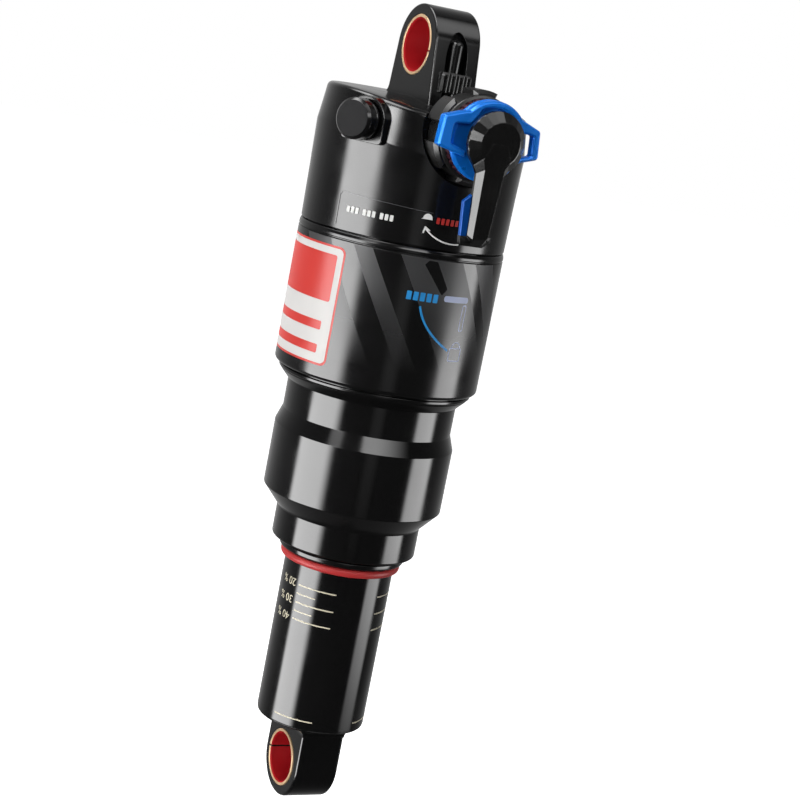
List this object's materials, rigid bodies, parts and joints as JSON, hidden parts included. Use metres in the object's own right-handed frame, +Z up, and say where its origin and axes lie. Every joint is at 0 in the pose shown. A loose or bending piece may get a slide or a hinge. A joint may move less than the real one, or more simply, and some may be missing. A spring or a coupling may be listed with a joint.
{
  "type": "bicycle rear shock",
  "caption": "Air shock with an eye at each end, a stepped black air can, adjusters at the head, and a damper body with a sag ring that slides into the can.",
  "frame": {"origin": "centre of the upper eye's bore", "axes": "+Z up along the shock towards the upper eye, X along both eye bores, and the adjusters point along -Y"},
  "size_m": [0.0573, 0.0663, 0.2104],
  "materials": {
    "black_anodised": "gloss black anodised",
    "satin_black": "satin black anodised",
    "blue_anodised": "blue anodised",
    "red_anodised": "dark red anodised",
    "red_rubber": "moulded",
    "black_rubber": "moulded",
    "bronze": "sintered bearing with a red lining",
    "steel": "ground",
    "bare_aluminium": "machined",
    "black_plastic": "moulded"
  },
  "bodies": {
    "can_side": {"head_body": "black_anodised", "upper_eye_bushing": "bronze", "air_can": "black_anodised", "can_lock_ring": "satin_black", "inner_air_can": "black_anodised", "head_oring": "black_rubber", "inner_can_oring": "black_rubber", "neck_bushing": "bronze", "neck_air_seal": "black_rubber", "wiper_seal": "black_rubber", "damper_shaft": "steel", "shim_spacer": "steel", "compression_shim_1": "steel", "compression_shim_2": "steel", "compression_shim_3": "steel", "main_piston": "bare_aluminium", "piston_band": "bronze", "rebound_shim_1": "steel", "rebound_shim_2": "steel", "piston_nut": "steel", "bottom_out_bumper": "black_rubber", "valve_body": "satin_black", "valve_core": "steel", "adjuster_housing": "satin_black", "rebound_detent_ball": "steel", "rebound_detent_spring": "steel"},
    "shaft_side": {"damper_body": "black_anodised", "lower_eye": "black_anodised", "lower_eye_bushing": "bronze", "gas_fill_screw": "steel", "air_piston": "bare_aluminium", "air_piston_seal": "black_rubber", "air_piston_glide_ring": "bronze", "shaft_bushing": "bronze", "shaft_seal": "black_rubber", "top_out_bumper": "black_rubber"},
    "floating_piston": {"floating_piston": "bare_aluminium", "floating_piston_oring": "black_rubber"},
    "sag_ring": {"sag_ring": "red_rubber"},
    "threshold_lever": {"threshold_lever": "black_anodised", "lever_backing": "blue_anodised", "lever_set_screw": "steel"},
    "compression_dial": {"compression_dial": "blue_anodised"},
    "rebound_dial": {"rebound_dial": "red_anodised"},
    "rebound_rod": {"rebound_rod": "steel"},
    "compression_rod": {"compression_rod": "steel"},
    "valve_cap": {"valve_cap": "black_plastic"},
    "valve_pin": {"valve_pin": "steel"}
  },
  "joints": [
    {"name": "stroke", "type": "slide", "parent": "can_side", "child": "shaft_side", "axis": [0, 0, 1], "range_m": [0, 0.045], "stiffness_N_per_m": 8000, "springref_m": -0.004},
    {"name": "floating_piston_travel", "type": "slide", "parent": "shaft_side", "child": "floating_piston", "axis": [0, 0, 1], "range_m": [-0.0059, 0]},
    {"name": "sag_ring_travel", "type": "slide", "parent": "shaft_side", "child": "sag_ring", "axis": [0, 0, 1], "range_m": [-0.045, 0]},
    {"name": "lever_turn", "type": "hinge", "parent": "can_side", "child": "threshold_lever", "pos_m": [0, 0, -0.0189], "axis": [0, 1, 0], "range_deg": [0, 90]},
    {"name": "compression_dial_turn", "type": "hinge", "parent": "can_side", "child": "compression_dial", "pos_m": [0, 0, -0.0189], "axis": [0, 1, 0], "range_deg": [-40, 40]},
    {"name": "rebound_dial_turn", "type": "hinge", "parent": "can_side", "child": "rebound_dial", "pos_m": [0, 0, -0.0189], "axis": [0, 1, 0], "range_deg": [-90, 90]},
    {"name": "rebound_rod_travel", "type": "slide", "parent": "can_side", "child": "rebound_rod", "axis": [0, 0, 1], "range_m": [-0.0008, 0.0008]},
    {"name": "compression_rod_travel", "type": "slide", "parent": "can_side", "child": "compression_rod", "axis": [0, 0, 1], "range_m": [-0.0008, 0]},
    {"name": "valve_cap_off", "type": "slide", "parent": "can_side", "child": "valve_cap", "axis": [-0.848, -0.5299, 0], "range_m": [0, 0.02]},
    {"name": "valve_pin_press", "type": "slide", "parent": "can_side", "child": "valve_pin", "axis": [0.848, 0.5299, 0], "range_m": [0, 0.001], "stiffness_N_per_m": 300, "springref_m": -0.0005}
  ],
  "couplings": [
    {"joint": "floating_piston_travel", "follows": "stroke", "ratio": -0.1276},
    {"joint": "sag_ring_travel", "follows": "stroke", "ratio": -1},
    {"joint": "rebound_dial_turn", "follows": "rebound_rod_travel", "rad_per_m": -1963.5},
    {"joint": "lever_turn", "follows": "compression_rod_travel", "rad_per_m": -1963.5}
  ]
}
